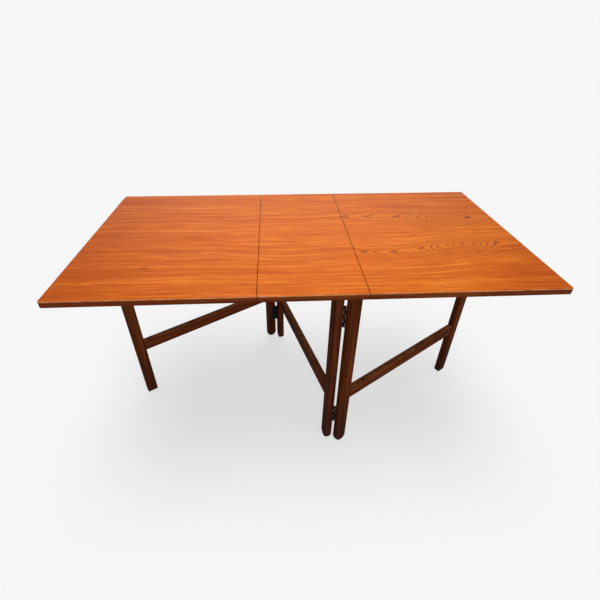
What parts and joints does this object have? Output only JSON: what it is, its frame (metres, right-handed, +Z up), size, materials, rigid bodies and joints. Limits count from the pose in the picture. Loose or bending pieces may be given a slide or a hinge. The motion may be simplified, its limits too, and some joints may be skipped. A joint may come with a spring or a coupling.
{
  "type": "drop leaf table",
  "caption": "Rectangular gate-leg dining table with a fixed centre board, a hinged leaf each side and a swinging gate under each leaf, on a slanting frame.",
  "frame": {"origin": "on the floor under the middle of the top", "axes": "+X along the top's length, +Y from front to back, +Z up"},
  "size_m": [1.46, 0.77, 0.735],
  "materials": {
    "teak_top": "oiled teak veneer, satin",
    "teak_under": "plain backing veneer",
    "teak_lipping": "oiled solid teak",
    "dark_teak": "dark oiled solid teak",
    "board_core": "raw chipboard, hidden",
    "black_steel": "black lacquered steel",
    "screw_steel": "plain steel"
  },
  "bodies": {
    "table_frame": {"centre_core": "board_core", "centre_top_veneer": "teak_top", "centre_under_veneer": "teak_under", "centre_front_lipping": "teak_lipping", "centre_back_lipping": "teak_lipping", "centre_right_lipping": "teak_lipping", "centre_left_lipping": "teak_lipping", "front_frame_post": "dark_teak", "back_frame_post": "dark_teak", "upper_rail": "dark_teak", "lower_rail": "dark_teak", "frame_screws": "screw_steel", "right_upper_frame_plate": "black_steel", "right_upper_pin": "black_steel", "right_lower_frame_plate": "black_steel", "right_lower_pin": "black_steel", "left_upper_frame_plate": "black_steel", "left_upper_pin": "black_steel", "left_lower_frame_plate": "black_steel", "left_lower_pin": "black_steel", "right_frame_plate_screws": "screw_steel", "left_frame_plate_screws": "screw_steel", "right_seam_centre_plates": "black_steel", "right_seam_pins": "black_steel", "left_seam_centre_plates": "black_steel", "left_seam_pins": "black_steel", "right_seam_centre_screws": "screw_steel", "left_seam_centre_screws": "screw_steel"},
    "right_leaf": {"right_leaf_core": "board_core", "right_leaf_top_veneer": "teak_top", "right_leaf_under_veneer": "teak_under", "right_leaf_front_lipping": "teak_lipping", "right_leaf_back_lipping": "teak_lipping", "right_leaf_end_lipping": "teak_lipping", "right_leaf_seam_lipping": "teak_lipping", "right_seam_leaf_plates": "black_steel", "right_seam_leaf_screws": "screw_steel"},
    "left_leaf": {"left_leaf_core": "board_core", "left_leaf_top_veneer": "teak_top", "left_leaf_under_veneer": "teak_under", "left_leaf_front_lipping": "teak_lipping", "left_leaf_back_lipping": "teak_lipping", "left_leaf_end_lipping": "teak_lipping", "left_leaf_seam_lipping": "teak_lipping", "left_seam_leaf_plates": "black_steel", "left_seam_leaf_screws": "screw_steel"},
    "right_gate": {"right_gate_post": "dark_teak", "right_gate_leg": "dark_teak", "right_gate_rail": "dark_teak", "right_upper_gate_plate": "black_steel", "right_lower_gate_plate": "black_steel", "right_gate_plate_screws": "screw_steel"},
    "left_gate": {"left_gate_post": "dark_teak", "left_gate_leg": "dark_teak", "left_gate_rail": "dark_teak", "left_upper_gate_plate": "black_steel", "left_lower_gate_plate": "black_steel", "left_gate_plate_screws": "screw_steel"}
  },
  "joints": [
    {"name": "right_gate_fold", "type": "hinge", "parent": "table_frame", "child": "right_gate", "pos_m": [0.10453, -0.31785, 0.3], "axis": [0, 0, 1], "range_deg": [0, 72]},
    {"name": "left_gate_fold", "type": "hinge", "parent": "table_frame", "child": "left_gate", "pos_m": [-0.10453, 0.31785, 0.3], "axis": [0, 0, 1], "range_deg": [0, 72]},
    {"name": "right_leaf_drop", "type": "hinge", "parent": "table_frame", "child": "right_leaf", "pos_m": [0.155, 0, 0.7138], "axis": [0, 1, 0], "range_deg": [-1.5, 0]},
    {"name": "left_leaf_drop", "type": "hinge", "parent": "table_frame", "child": "left_leaf", "pos_m": [-0.155, 0, 0.7138], "axis": [0, -1, 0], "range_deg": [-1.5, 0]}
  ]
}
